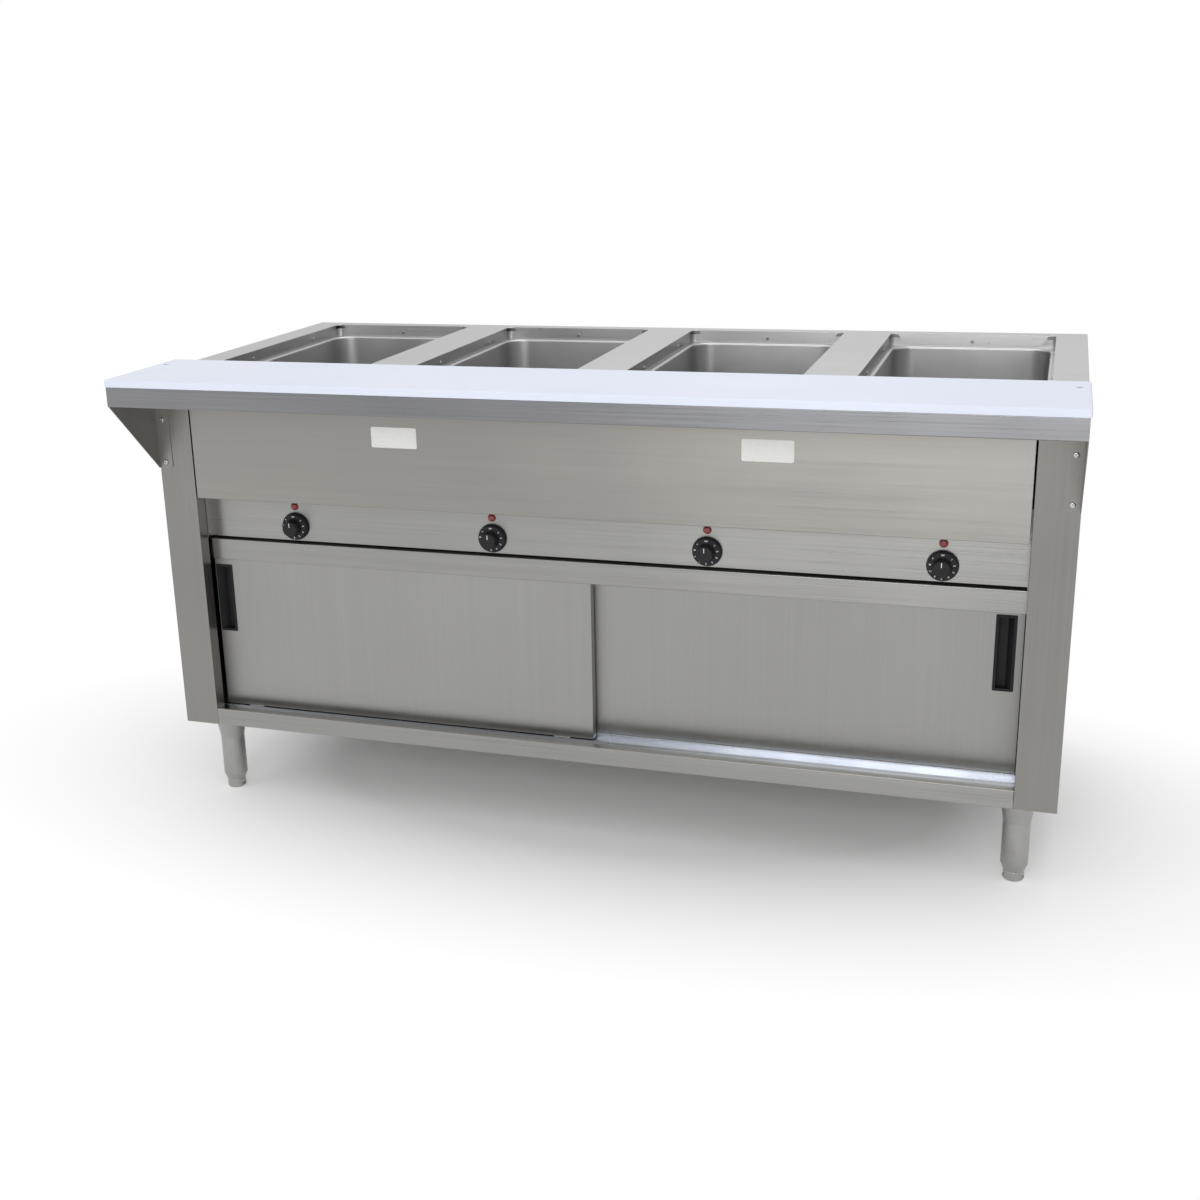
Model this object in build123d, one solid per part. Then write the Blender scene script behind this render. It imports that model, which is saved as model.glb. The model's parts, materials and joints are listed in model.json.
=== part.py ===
from build123d import *
import math
import os

# Electric steam table with four wells, a closed base with two sliding doors, and a white
# carving board on a bracketed shelf along the operator's side.
# Millimetres. X runs along the table, +Y to the back, +Z up. The origin is on the floor,
# in the middle of the table's outline.

# Overall sizes
table_length = 1586.0
body_depth = 690.0
deck_height = 820.0
cabinet_bottom = 152.0
sheet = 1.2
deck_sheet = 1.5
edge_round = 1.0
bend_round = 1.6

# Carving board and its shelf
board_thickness = 12.7
board_front_reach = 144.0
board_back_reach = 87.0
board_end_overhang = 2.0
board_round = 3.0
board_screw_inset = 15.0
board_screw_reach = 30.0
board_screw_radius = 2.4
board_screw_head_radius = 5.0
board_screw_head_depth = 2.6
board_screw_sink = 1.0
board_screw_head_round = 0.8
board_screw_slot_reach = 3.5
board_screw_slot_width = 1.5
board_screw_length = 20.0
shelf_reach = 142.0
shelf_lip_height = 34.0
shelf_return = 12.0
shelf_back_flange = 24.0

# Shelf brackets
bracket_sheet = 1.5
bracket_flange = 27.0
bracket_height = 171.0
bracket_corner = 6.0
bracket_toe = 3.5
bracket_screw_rise = 11.0
bracket_screw_spacing = 77.0
bracket_screw_inset = 13.5
bracket_screw_radius = 2.4
bracket_screw_head_radius = 4.9
bracket_screw_head_height = 2.8
bracket_screw_length = 14.0
cross_arm_share = 0.28

# Posts, apron, control panel and header rail
post_width = 68.0
jamb_depth = 27.0
side_return = 26.0
bottom_lip = 12.0
apron_rise = 53.5
apron_gap = 2.5
apron_return = 16.0
control_recess = 42.0
panel_drop = 28.0
panel_rise = 98.5
panel_gap = 3.5
header_recess = 34.0
header_height = 38.5

# Cabinet floor and its front rail
floor_height = 178.0
rail_height = 184.0
rail_lip = 9.0
floor_flange = 20.0
fit_gap = 0.5

# Sliding doors and their tracks
track_gap = 0.1
track_wall = 1.3
track_lower_rib = 8.7
track_front_wall = 3.2
track_upper_rib = 15.0
door_side_gap = 1.4
door_rib_gap = 4.6
door_thickness = 18.0
door_overlap = 17.0
door_bottom = 182.0
door_head_gap = 10.5
door_lip = 10.0
left_door_gap = 2.0
right_door_gap = 1.0
glide_length = 30.0
glide_width = 12.0
glide_inset = 60.0
glide_round = 0.6

# Recessed door pulls
pull_width = 33.0
pull_height = 130.0
pull_drop = 39.5
left_pull_edge_gap = 3.0
right_pull_edge_gap = 12.0
pull_flange = 3.0
pull_flange_thickness = 1.6
pull_flange_round = 0.5
pull_depth = 14.0
pull_wall = 1.6
pull_corner = 2.0
pull_slope = 9.0
pull_cutout_gap = 0.3

# Wells and their openings in the deck
well_count = 4
deck_end_margin = 55.5
opening_width = 302.0
opening_length = 505.0
opening_back_margin = 32.0
opening_corner = 10.0
flange_drop = 20.0
flange_start = 12.0
flange_taper = 14.0
well_sheet = 1.0
well_ledge_drop = 23.0
well_ledge = 8.0
well_corner = 38.0
well_depth = 162.0
well_bottom_round = 20.0
well_rim_round = 3.0
well_upstand = 15.0
well_upstand_corner = 8.0
well_screw_drop = 14.0
well_screw_offset = 130.0
well_screw_radius = 1.9
well_screw_hole = 2.1
well_screw_head_radius = 3.4
well_screw_head_height = 1.8
well_screw_head_round = 0.6
well_screw_length = 5.0

# Heaters under the wells
element_radius = 4.0
element_bend = 24.0
element_margin = 45.0
element_gap = 2.0
tray_margin = 24.0
tray_height = 28.0
tray_corner = 8.0
element_end_bend = 12.0
element_tail = 26.0
element_end_reach = 10.0
element_front_gap = 40.0
element_hole_gap = 1.0
pad_gap = 1.0
pad_corner = 6.0
pad_notch_side = 9.0
pad_notch_front = 30.0
pad_notch_rear = 26.0

# Deck rails
deck_rail_height = 30.0
deck_rail_width = 22.0
deck_rail_inset = 60.0
rear_rail_inset = 2.0

# Thermostats, knobs and indicator lamps
control_left_margin = 244.0
control_right_margin = 200.2
control_height = 541.5
thermostat_width = 44.0
thermostat_height = 40.0
thermostat_depth = 34.0
thermostat_corner = 2.0
thermostat_neck_radius = 6.0
thermostat_neck = 2.0
tab_offset = 9.0
tab_width = 6.0
tab_length = 8.0
tab_thickness = 0.8
shaft_radius = 3.175
shaft_clearance = 0.07
shaft_seat = 10.0
shaft_end_gap = 1.0
shaft_flat = 1.43
neck_hole = 6.4
knob_radius = 25.5
knob_skirt = 7.0
knob_skirt_slope = 2.5
knob_gap = 3.0
knob_hub_radius = 15.0
knob_hub_taper = 1.5
knob_length = 25.0
knob_scallops = 10
knob_scallop_radius = 3.2
knob_scallop_reach = 16.5
knob_skirt_round = 0.8
knob_hub_round = 1.2
knob_bore_depth = 16.0
lamp_rise = 36.5
lamp_radius = 5.5
lamp_hole = 6.3
lamp_reach = 5.0
lamp_body_radius = 6.0
lamp_body_depth = 26.0
lamp_bezel_radius = 7.4
lamp_bezel = 1.0
lens_seat = 6.0
lens_gap = 0.1
lens_round = 2.4
lens_groove = 0.35
lens_rings = (1.5, 2.8)

# Wiring and supply
duct_height = 30.0
duct_depth = 28.0
duct_rise = 45.0
duct_overrun = 40.0
terminal_box_width = 110.0
terminal_box_height = 80.0
terminal_box_depth = 50.0
terminal_box_end_gap = 43.0
terminal_box_drop = 315.0
terminal_box_corner = 3.0
gland_radius = 10.0
gland_bore = 6.5
gland_nut_radius = 14.0
gland_reach = 8.0
gland_inside = 24.0
gland_clearance = 0.2

# Legs and feet
leg_inset = 60.5
leg_setback = 59.0
leg_radius = 22.5
leg_wall = 2.0
leg_flare_radius = 30.0
leg_flare_height = 46.0
leg_end = 18.0
leg_taper_height = 12.0
leg_taper = 4.5
leg_insert = 22.0
leg_plate = 3.0
channel_width = 60.0
channel_sheet = 2.5
channel_front_gap = 12.0
foot_radius = 17.5
foot_stop_gap = 0.5
foot_round = 4.0
foot_stem_radius = 8.0
foot_stem_length = 52.0
foot_stem_clearance = 0.08
foot_stem_chamfer = 1.5
foot_notch_depth = 2.0
foot_notch_width = 18.0
foot_notch_bottom = 5.0
foot_notch_top = 12.0

# Derived places
half_length = table_length / 2
front = -(body_depth + gland_reach - board_front_reach) / 2
back = front + body_depth
inner_side = half_length - sheet
post_inner = half_length - post_width
back_inner = back - 2 * sheet
deck_under = deck_height - deck_sheet
well_middle = back - opening_back_margin - opening_length / 2
well_spacing = (table_length - opening_width - 2 * deck_end_margin) / (well_count - 1)
well_places = [(i - (well_count - 1) / 2) * well_spacing for i in range(well_count)]
control_spacing = (table_length - control_left_margin - control_right_margin) / (well_count - 1)
control_places = [control_left_margin - half_length + i * control_spacing for i in range(well_count)]
apron_bottom = control_height + apron_rise
control_bottom = control_height - panel_drop
control_top = control_height + panel_rise
header_top = control_bottom - panel_gap
header_bottom = header_top - header_height
door_top = header_top - door_head_gap
left_door_edge = left_door_gap - post_inner
right_door_edge = post_inner - right_door_gap
door_width = (right_door_edge - left_door_edge + door_overlap) / 2
bracket_bottom = deck_height - bracket_height
bracket_screw_heights = [
    bracket_bottom + bracket_screw_rise + i * bracket_screw_spacing for i in range(2)
]
terminal_box_side = half_length - terminal_box_end_gap - terminal_box_width
terminal_box_bottom = deck_height - terminal_box_drop
gland_x = terminal_box_side + terminal_box_width / 2
gland_z = terminal_box_bottom + terminal_box_height / 2
panel_face = front + control_recess
header_face = front + header_recess
track_front = header_face + sheet + track_gap
front_door_face = track_front + track_wall + door_side_gap
rear_door_face = front_door_face + door_thickness + door_rib_gap + door_side_gap
ledge_height = deck_height - well_ledge_drop
well_floor = ledge_height - well_depth
element_half_width = opening_width / 2 - element_margin
element_end_run = opening_length / 2 - element_margin + element_end_reach
leg_places = {
    "front_left": (-(half_length - leg_inset), front + leg_setback),
    "front_right": (half_length - leg_inset, front + leg_setback),
    "rear_left": (-(half_length - leg_inset), back - leg_setback),
    "rear_right": (half_length - leg_inset, back - leg_setback),
}


def block(x, y, z):
    """A box between two values on each axis."""
    size = [abs(span[1] - span[0]) for span in (x, y, z)]
    middle = [(span[0] + span[1]) / 2 for span in (x, y, z)]
    return Pos(*middle) * Box(*size)


def round_bar(x, y, z, radius, length):
    """A cylinder that starts at a point and runs along -Y, towards the operator."""
    return Pos(x, y - length / 2, z) * Rot(90, 0, 0) * Cylinder(radius, length)


def upright(x, y, bottom, top, radius):
    """A cylinder along Z."""
    return Pos(x, y, (bottom + top) / 2) * Cylinder(radius, top - bottom)


def rounded_block(x, y, width, depth, bottom, top, corner):
    """An upright block with rounded vertical corners."""
    return Pos(x, y, bottom) * extrude(RectangleRounded(width, depth, corner), top - bottom)


def cross_recess(x, y, z, size, depth):
    """The cross cut in a screw head that faces the operator."""
    arm = size * cross_arm_share
    upright_arm = block((x - arm / 2, x + arm / 2), (y, y + depth), (z - size / 2, z + size / 2))
    level_arm = block((x - size / 2, x + size / 2), (y, y + depth), (z - arm / 2, z + arm / 2))
    return upright_arm + level_arm


def edges_at(part, along, x=None, y=None, z=None):
    """The straight edges along one axis whose middles lie in the given spans."""
    edges = part.edges().filter_by(along)
    for axis, span in ((Axis.X, x), (Axis.Y, y), (Axis.Z, z)):
        if span is not None:
            edges = edges.filter_by_position(axis, span[0], span[1])
    return edges


def near(value, reach=0.2):
    return (value - reach, value + reach)


# Deck with its four openings


def well_screw_spots(x):
    """Place and outward direction of the six screws round one opening."""
    side = opening_width / 2
    end = opening_length / 2
    spots = []
    for sign in (-1, 1):
        for offset in (-well_screw_offset, well_screw_offset):
            spots.append((x + sign * side, well_middle + offset, sign, 0))
        spots.append((x, well_middle + sign * end, 0, sign))
    return spots


def screw_rod(spot, radius, inward, outward):
    """A rod through the wall of an opening, level and square to it."""
    x, y, out_x, out_y = spot
    middle = (outward - inward) / 2
    turn = Rot(0, 90, 0) if out_x else Rot(90, 0, 0)
    place = Pos(x + out_x * middle, y + out_y * middle, deck_height - well_screw_drop)
    return place * turn * Cylinder(radius, inward + outward)


def drop_flange(x, across):
    """One pair of turned-down flanges with slanted ends, along or across an opening."""
    span = opening_width if across else opening_length
    reach = opening_length if across else opening_width
    top = span / 2 - flange_start
    low = top - flange_taper
    outline = Polyline((-top, 0), (top, 0), (low, -flange_drop), (-low, -flange_drop), close=True)
    plate = extrude(make_face(outline), deck_sheet)
    flanges = []
    for sign in (-1, 1):
        distance = sign * (reach / 2 + (deck_sheet if sign > 0 else 0))
        if across:
            place = Pos(x, well_middle + distance, deck_height) * Rot(90, 0, 0)
        else:
            distance = sign * (reach / 2 + (0 if sign > 0 else deck_sheet))
            place = Pos(x + distance, well_middle, deck_height) * Rot(0, 0, 90) * Rot(90, 0, 0)
        flanges.append(place * plate)
    return flanges[0] + flanges[1]


def make_top_deck():
    deck = block((-half_length, half_length), (front, back), (deck_under, deck_height))
    deck = fillet(edges_at(deck, Axis.Z), bend_round)
    for x in well_places:
        deck -= rounded_block(
            x, well_middle, opening_width, opening_length, deck_under, deck_height, opening_corner
        )
    rim = [e for e in deck.faces().sort_by(Axis.Z)[-1].edges()]
    deck = fillet(rim, edge_round)
    for x in well_places:
        deck += drop_flange(x, True)
        deck += drop_flange(x, False)
        for spot in well_screw_spots(x):
            deck -= screw_rod(spot, well_screw_hole, deck_sheet, 2 * deck_sheet)
    for side in (-1, 1):
        hole_x = side * (half_length - board_screw_inset)
        deck -= upright(hole_x, front + board_screw_reach, 0, deck_height, board_screw_radius + fit_gap)
    return deck


def make_deck_rail(start):
    """A channel under the deck that stiffens it along its whole length."""
    low = deck_under - deck_rail_height
    reach = (-inner_side + fit_gap, inner_side - fit_gap)
    rail = block(reach, (start, start + sheet), (low, deck_under))
    rail += block(reach, (start + deck_rail_width - sheet, start + deck_rail_width), (low, deck_under))
    rail += block(reach, (start, start + deck_rail_width), (low, low + sheet))
    return rail


# Wells


def make_well(x):
    inner_width = opening_width - 2 * well_ledge
    inner_length = opening_length - 2 * well_ledge
    rim_width = opening_width + 2 * (deck_sheet + well_sheet)
    rim_length = opening_length + 2 * (deck_sheet + well_sheet)
    ledge_under = ledge_height - well_sheet
    shell = rounded_block(
        0,
        0,
        inner_width + 2 * well_sheet,
        inner_length + 2 * well_sheet,
        well_floor - well_sheet,
        ledge_height,
        well_corner + well_sheet,
    )
    shell = fillet(shell.faces().sort_by(Axis.Z)[0].edges(), well_bottom_round + well_sheet)
    shell += rounded_block(
        0, 0, rim_width, rim_length, ledge_under, ledge_height, well_upstand_corner + well_sheet
    )
    neck = [
        e
        for e in shell.faces().filter_by(Axis.Z).filter_by_position(Axis.Z, *near(ledge_under, 0.01))[0]
        .inner_wires()[0]
        .edges()
    ]
    shell = fillet(neck, well_rim_round)
    hollow = rounded_block(0, 0, inner_width, inner_length, well_floor, ledge_height, well_corner)
    hollow = fillet(hollow.faces().sort_by(Axis.Z)[0].edges(), well_bottom_round)
    shell -= hollow
    mouth = [
        e
        for e in shell.faces().filter_by(Axis.Z).filter_by_position(Axis.Z, *near(ledge_height, 0.01))[0]
        .inner_wires()[0]
        .edges()
    ]
    shell = fillet(mouth, well_rim_round + well_sheet)
    upstand = rounded_block(
        0,
        0,
        rim_width,
        rim_length,
        ledge_under,
        ledge_height + well_upstand,
        well_upstand_corner + well_sheet,
    )
    upstand -= rounded_block(
        0,
        0,
        rim_width - 2 * well_sheet,
        rim_length - 2 * well_sheet,
        ledge_under,
        ledge_height + well_upstand,
        well_upstand_corner,
    )
    well = Pos(x, well_middle, 0) * (shell + upstand)
    for spot in well_screw_spots(x):
        well -= screw_rod(spot, well_screw_hole, deck_sheet, 3 * deck_sheet)
    return well


def make_well_screws():
    screws = []
    for x in well_places:
        for spot in well_screw_spots(x):
            shank = screw_rod(spot, well_screw_radius, 0, well_screw_length)
            head = screw_rod(spot, well_screw_head_radius, well_screw_head_height, 0)
            head = fillet(head.edges().filter_by(GeomType.CIRCLE), well_screw_head_round)
            screws.append(shank + head)
    return Compound(children=screws)


# Heaters


def make_heating_element(x):
    """A bent tube that lies flat under a well, with both ends turned down to its terminals."""
    level = well_floor - well_sheet - element_gap - element_radius
    tail = level - element_tail
    half_run = opening_length / 2 - element_margin
    front_bend = -half_run + element_front_gap
    end = -element_end_run
    step = element_half_width * 2 / 3
    left, right = -element_half_width, element_half_width
    points = [
        (left, end, tail),
        (left, end, level),
        (left, half_run, level),
        (left + step, half_run, level),
        (left + step, front_bend, level),
        (right - step, front_bend, level),
        (right - step, half_run, level),
        (right, half_run, level),
        (right, end, level),
        (right, end, tail),
    ]
    points = [(x + p[0], well_middle + p[1], p[2]) for p in points]
    bends = [element_end_bend] + [element_bend] * 6 + [element_end_bend]
    route = FilletPolyline(*points, radius=bends)
    start = Plane(origin=points[0], z_dir=(0, 0, 1))
    return sweep(start * Circle(element_radius), path=route)


def make_heater_tray(x):
    """The shallow pan under a well that holds the heater against it."""
    top = well_floor - well_sheet
    width = opening_width - 2 * tray_margin
    length = opening_length - 2 * tray_margin
    tray = rounded_block(x, well_middle, width, length, top - tray_height, top, tray_corner)
    tray -= rounded_block(
        x,
        well_middle,
        width - 2 * sheet,
        length - 2 * sheet,
        top - tray_height + sheet,
        top,
        tray_corner - sheet,
    )
    for side in (-1, 1):
        tray -= upright(
            x + side * element_half_width,
            well_middle - element_end_run,
            top - tray_height - sheet,
            top,
            element_radius + element_hole_gap,
        )
    return tray


def make_heater_pad(x):
    """The slab of insulation that lies in a tray, under the element."""
    top = well_floor - well_sheet
    inset = 2 * (tray_margin + sheet + pad_gap)
    width = opening_width - inset
    length = opening_length - inset
    pad_bottom = top - tray_height + sheet
    pad_top = top - 2 * element_gap - 2 * element_radius
    pad = rounded_block(x, well_middle, width, length, pad_bottom, pad_top, pad_corner)
    end = well_middle - element_end_run
    notch = (end - pad_notch_front, end + pad_notch_rear)
    for side in (-1, 1):
        spot = x + side * element_half_width
        pad -= block((spot - pad_notch_side, spot + pad_notch_side), notch, (pad_bottom, pad_top))
    return pad


# Outer panels


def make_side_panel(side):
    """A side wall whose front edge is folded into the corner post."""
    low, high = cabinet_bottom, deck_under
    rear = back - sheet
    wall = block((inner_side, half_length), (front, rear), (low, high))
    post = block((post_inner, half_length), (front, front + sheet), (low, high))
    jamb = block((post_inner, post_inner + sheet), (front, front + jamb_depth), (low, high))
    rear_fold = block((half_length - side_return, half_length), (rear - sheet, rear), (low, high))
    foot_fold = block(
        (half_length - bottom_lip, half_length), (front + jamb_depth, rear), (low, low + sheet)
    )
    panel = wall + post + jamb + rear_fold + foot_fold
    corner = edges_at(panel, Axis.Z, x=near(half_length), y=near(front))
    corner += edges_at(panel, Axis.Z, x=near(post_inner), y=near(front))
    panel = fillet(corner, bend_round * 0.7)
    for height in bracket_screw_heights:
        panel -= round_bar(
            half_length - bracket_screw_inset,
            front + 2 * sheet,
            height,
            bracket_screw_radius + fit_gap / 2,
            3 * sheet,
        )
    return panel if side > 0 else mirror(panel, Plane.YZ)


def make_back_panel():
    panel = block((-half_length, half_length), (back - sheet, back), (cabinet_bottom, deck_under))
    corners = edges_at(panel, Axis.Z, y=near(back))
    panel = fillet(corners, edge_round)
    panel -= round_bar(gland_x, back + sheet, gland_z, gland_radius + gland_clearance, 3 * sheet)
    return panel


def make_front_apron():
    side = post_inner - apron_gap
    apron = block((-side, side), (front, front + sheet), (apron_bottom, deck_under))
    apron += block((-side, side), (front, front + apron_return), (apron_bottom, apron_bottom + sheet))
    for sign in (-1, 1):
        fold = sorted((sign * side, sign * (side - sheet)))
        apron += block(fold, (front, front + apron_return), (apron_bottom, deck_under))
    bends = edges_at(apron, Axis.X, y=near(front), z=near(apron_bottom))
    bends += edges_at(apron, Axis.Z, y=near(front))
    return fillet(bends, edge_round)


def make_control_panel():
    side = post_inner - fit_gap
    panel = block((-side, side), (panel_face, panel_face + sheet), (control_bottom, control_top))
    for sign in (-1, 1):
        fold = sorted((sign * side, sign * (side - sheet)))
        fold_depth = (front + jamb_depth + fit_gap, panel_face)
        panel += block(fold, fold_depth, (control_bottom, apron_bottom - fit_gap))
    top_fold = (front + sheet, panel_face + sheet)
    top_side = side - apron_gap - 2 * sheet
    panel += block((-top_side, top_side), top_fold, (control_top, control_top + sheet))
    low_fold = (panel_face, panel_face + bottom_lip)
    panel += block((-side, side), low_fold, (control_bottom, control_bottom + sheet))
    bends = edges_at(panel, Axis.X, y=near(panel_face), z=near(control_bottom))
    panel = fillet(bends, edge_round)
    for x in control_places:
        panel -= round_bar(x, panel_face + 2 * sheet, control_height, neck_hole, 4 * sheet)
        panel -= round_bar(x, panel_face + 2 * sheet, control_height + lamp_rise, lamp_hole, 4 * sheet)
    return panel


def make_header_rail():
    side = inner_side - fit_gap
    rear = track_front + track_width()
    rail = block((-side, side), (header_face, header_face + sheet), (header_bottom, header_top))
    rail += block((-side, side), (header_face, rear), (header_top - sheet, header_top))
    bends = edges_at(rail, Axis.X, y=near(header_face))
    return fillet(bends, edge_round)


def make_cabinet_floor():
    side = inner_side - fit_gap
    rail_side = post_inner - fit_gap
    under = floor_height - sheet
    rear = back_inner - fit_gap
    behind_jamb = front + jamb_depth + fit_gap
    panel = block((-side, side), (behind_jamb, rear), (under, floor_height))
    panel += block((-rail_side, rail_side), (front + rail_lip - sheet, rear), (under, floor_height))
    panel += block(
        (-rail_side, rail_side),
        (front + rail_lip - sheet, front + rail_lip),
        (under, rail_height),
    )
    panel += block((-rail_side, rail_side), (front, front + rail_lip), (rail_height - sheet, rail_height))
    panel += block((-rail_side, rail_side), (front, front + sheet), (cabinet_bottom, rail_height))
    panel += block(
        (-rail_side, rail_side),
        (front, front + channel_front_gap - fit_gap),
        (cabinet_bottom, cabinet_bottom + sheet),
    )
    panel += block((-side, side), (rear - sheet, rear), (floor_height - floor_flange, floor_height))
    for sign in (-1, 1):
        fold = sorted((sign * side, sign * (side - sheet)))
        panel += block(fold, (behind_jamb, rear), (floor_height - floor_flange, floor_height))
    bends = edges_at(panel, Axis.X, y=near(front))
    return fillet(bends, edge_round)


# Door tracks and doors


def track_width():
    return rear_door_face + door_thickness + door_side_gap + track_wall - track_front


def make_track(base, rib_end, front_end):
    """A double track. Its base, rib ends and front wall's end are heights; the walls start at the base."""
    side = inner_side - 2 * fit_gap
    up = 1 if rib_end > base else -1
    rear = track_front + track_width()
    track = block((-side, side), (track_front, rear), sorted((base, base + up * track_wall)))
    walls = (
        (track_front, track_front + track_wall, front_end),
        (front_door_face + door_thickness + door_side_gap, rear_door_face - door_side_gap, rib_end),
        (rear - track_wall, rear, rib_end),
    )
    for wall in walls:
        track += block((-side, side), wall[:2], sorted((base, wall[2])))
    tips = edges_at(track, Axis.X, z=near(rib_end))
    return fillet(tips, track_wall * 0.3)


def make_door(left, face, pull_side, pull_edge_gap):
    """A door panel folded from sheet, open at the back, with a cut-out for its pull."""
    right = left + door_width
    rear = face + door_thickness
    door = block((left, right), (face, rear), (door_bottom, door_top))
    outer = edges_at(door, Axis.Z, y=near(face)) + edges_at(door, Axis.X, y=near(face))
    door = fillet(outer, edge_round)
    door -= block(
        (left + sheet, right - sheet),
        (face + sheet, rear - sheet),
        (door_bottom + sheet, door_top - sheet),
    )
    door -= block(
        (left + door_lip, right - door_lip),
        (rear - 2 * sheet, rear + sheet),
        (door_bottom + door_lip, door_top - door_lip),
    )
    x, z = pull_centre(left, pull_side, pull_edge_gap)
    gap = 2 * (pull_cutout_gap - pull_flange)
    door -= block(
        (x - (pull_width + gap) / 2, x + (pull_width + gap) / 2),
        (face - sheet, face + 2 * sheet),
        (z - (pull_height + gap) / 2, z + (pull_height + gap) / 2),
    )
    return door


def pull_centre(left, pull_side, pull_edge_gap):
    """Middle of a door's pull, near the left edge for -1 and near the right one for 1."""
    edge = left if pull_side < 0 else left + door_width
    x = edge - pull_side * (pull_edge_gap + pull_width / 2)
    return x, door_top - pull_drop - pull_height / 2


def make_door_pull(left, face, pull_side, pull_edge_gap):
    """A cup that is let into the door, with a thin flange over the edge of the cut-out."""
    x, z = pull_centre(left, pull_side, pull_edge_gap)
    cup_width = pull_width - 2 * pull_flange
    cup_height = pull_height - 2 * pull_flange
    flange = extrude(RectangleRounded(pull_width, pull_height, pull_corner), pull_flange_thickness)
    flange = fillet(flange.faces().sort_by(Axis.Z)[-1].edges(), pull_flange_round)
    cup = Pos(0, 0, -pull_depth) * extrude(RectangleRounded(cup_width, cup_height, pull_corner), pull_depth)
    body = flange + cup
    inner_width = cup_width - 2 * pull_wall
    inner_height = cup_height - 2 * pull_wall
    depth = pull_depth - pull_wall
    slope = pull_side * -1
    mouth = [
        (slope * -inner_width / 2, pull_flange_thickness),
        (slope * inner_width / 2, pull_flange_thickness),
        (slope * inner_width / 2, -depth),
        (slope * (-inner_width / 2 + pull_slope), -depth),
    ]
    hollow = Rot(90, 0, 0) * extrude(make_face(Polyline(*mouth, close=True)), inner_height / 2, both=True)
    body -= hollow
    return Pos(x, face, z) * Rot(90, 0, 0) * body


def make_door_glides(left, face):
    """Two pairs of nylon blocks: one pair runs in the lower track and one in the upper."""
    middle = face + door_thickness / 2
    base = floor_height + track_wall
    roof = header_top - sheet - track_wall
    blocks = []
    for x in (left + glide_inset, left + door_width - glide_inset):
        span = (x - glide_length / 2, x + glide_length / 2)
        depth = (middle - glide_width / 2, middle + glide_width / 2)
        low = block(span, depth, (base + track_gap, door_bottom))
        high = block(span, depth, (door_top, roof - 2 * track_wall))
        blocks.append(fillet(low.edges().filter_by(Axis.Y), glide_round))
        blocks.append(fillet(high.edges().filter_by(Axis.Y), glide_round))
    return Compound(children=blocks)


# Shelf, board and brackets


def make_work_shelf():
    side = half_length
    inner = half_length - bracket_flange - fit_gap
    lip_bottom = deck_height - shelf_lip_height
    reach = (front - shelf_reach, front)
    shelf = block((-side, side), reach, (deck_height - bracket_sheet, deck_height))
    shelf += block(
        (-side, side), (reach[0], reach[0] + bracket_sheet), (lip_bottom, deck_height)
    )
    shelf += block(
        (-inner, inner),
        (reach[0], reach[0] + shelf_return),
        (lip_bottom, lip_bottom + bracket_sheet),
    )
    shelf += block(
        (-inner, inner),
        (front - bracket_sheet, front),
        (deck_height - shelf_back_flange, deck_height),
    )
    bends = edges_at(shelf, Axis.X, y=near(reach[0]))
    shelf = fillet(bends, bend_round * 0.8)
    return shelf


def board_screw_spots():
    return [
        (side * (half_length - board_screw_inset), front + board_screw_reach) for side in (-1, 1)
    ]


def make_cutting_board():
    side = half_length + board_end_overhang
    reach = (front - board_front_reach, front + board_back_reach)
    top = deck_height + board_thickness
    board = block((-side, side), reach, (deck_height, top))
    board = fillet(edges_at(board, Axis.Z), board_round)
    board = fillet(board.faces().sort_by(Axis.Z)[-1].edges(), board_round)
    board = fillet(board.faces().sort_by(Axis.Z)[0].edges(), edge_round)
    for x, y in board_screw_spots():
        board -= upright(x, y, deck_height, top, board_screw_radius + fit_gap)
        seat = top - board_screw_head_depth - board_screw_sink
        board -= upright(x, y, seat, top, board_screw_head_radius + fit_gap)
    return board


def make_board_screws():
    """Two screws that are sunk in the board and hold it down to the deck."""
    screws = []
    seat = deck_height + board_thickness - board_screw_head_depth - board_screw_sink
    for x, y in board_screw_spots():
        head = upright(x, y, seat, seat + board_screw_head_depth, board_screw_head_radius)
        head = fillet(head.edges().filter_by(GeomType.CIRCLE).sort_by(Axis.Z)[-1:], board_screw_head_round)
        slot = block(
            (x - board_screw_slot_reach, x + board_screw_slot_reach),
            (y - board_screw_slot_width / 2, y + board_screw_slot_width / 2),
            (seat + board_screw_head_depth / 2, seat + board_screw_head_depth),
        )
        shank = upright(x, y, seat - board_screw_length, seat, board_screw_radius)
        screws.append(head + shank - slot - (Pos(x, y) * Rot(0, 0, 90) * Pos(-x, -y) * slot))
    return Compound(children=screws)


def make_shelf_bracket(side):
    """A gusset at the end of the shelf, with flanges on the post and under the shelf."""
    lip_bottom = deck_height - shelf_lip_height
    top = deck_height - bracket_sheet
    nose = front - shelf_reach + bracket_sheet
    outline = Polyline(
        (front, bracket_bottom),
        (front, top),
        (nose, top),
        (nose, lip_bottom),
        (front - bracket_toe, bracket_bottom),
        close=True,
    )
    gusset = Plane.YZ * extrude(make_face(outline), bracket_sheet)
    gusset = Pos(half_length - bracket_sheet, 0, 0) * gusset
    inner = half_length - bracket_flange
    flange = block((inner, half_length), (front - bracket_sheet, front), (bracket_bottom, top))
    flange = fillet(edges_at(flange, Axis.Y, x=near(inner), z=near(bracket_bottom)), bracket_corner)
    seat = block((inner, half_length), (nose, front), (top - bracket_sheet, top))
    bracket = gusset + flange + seat
    for height in bracket_screw_heights:
        bracket -= round_bar(
            half_length - bracket_screw_inset,
            front + bracket_sheet,
            height,
            bracket_screw_radius + fit_gap / 2,
            4 * bracket_sheet,
        )
    return bracket if side > 0 else mirror(bracket, Plane.YZ)


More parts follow.
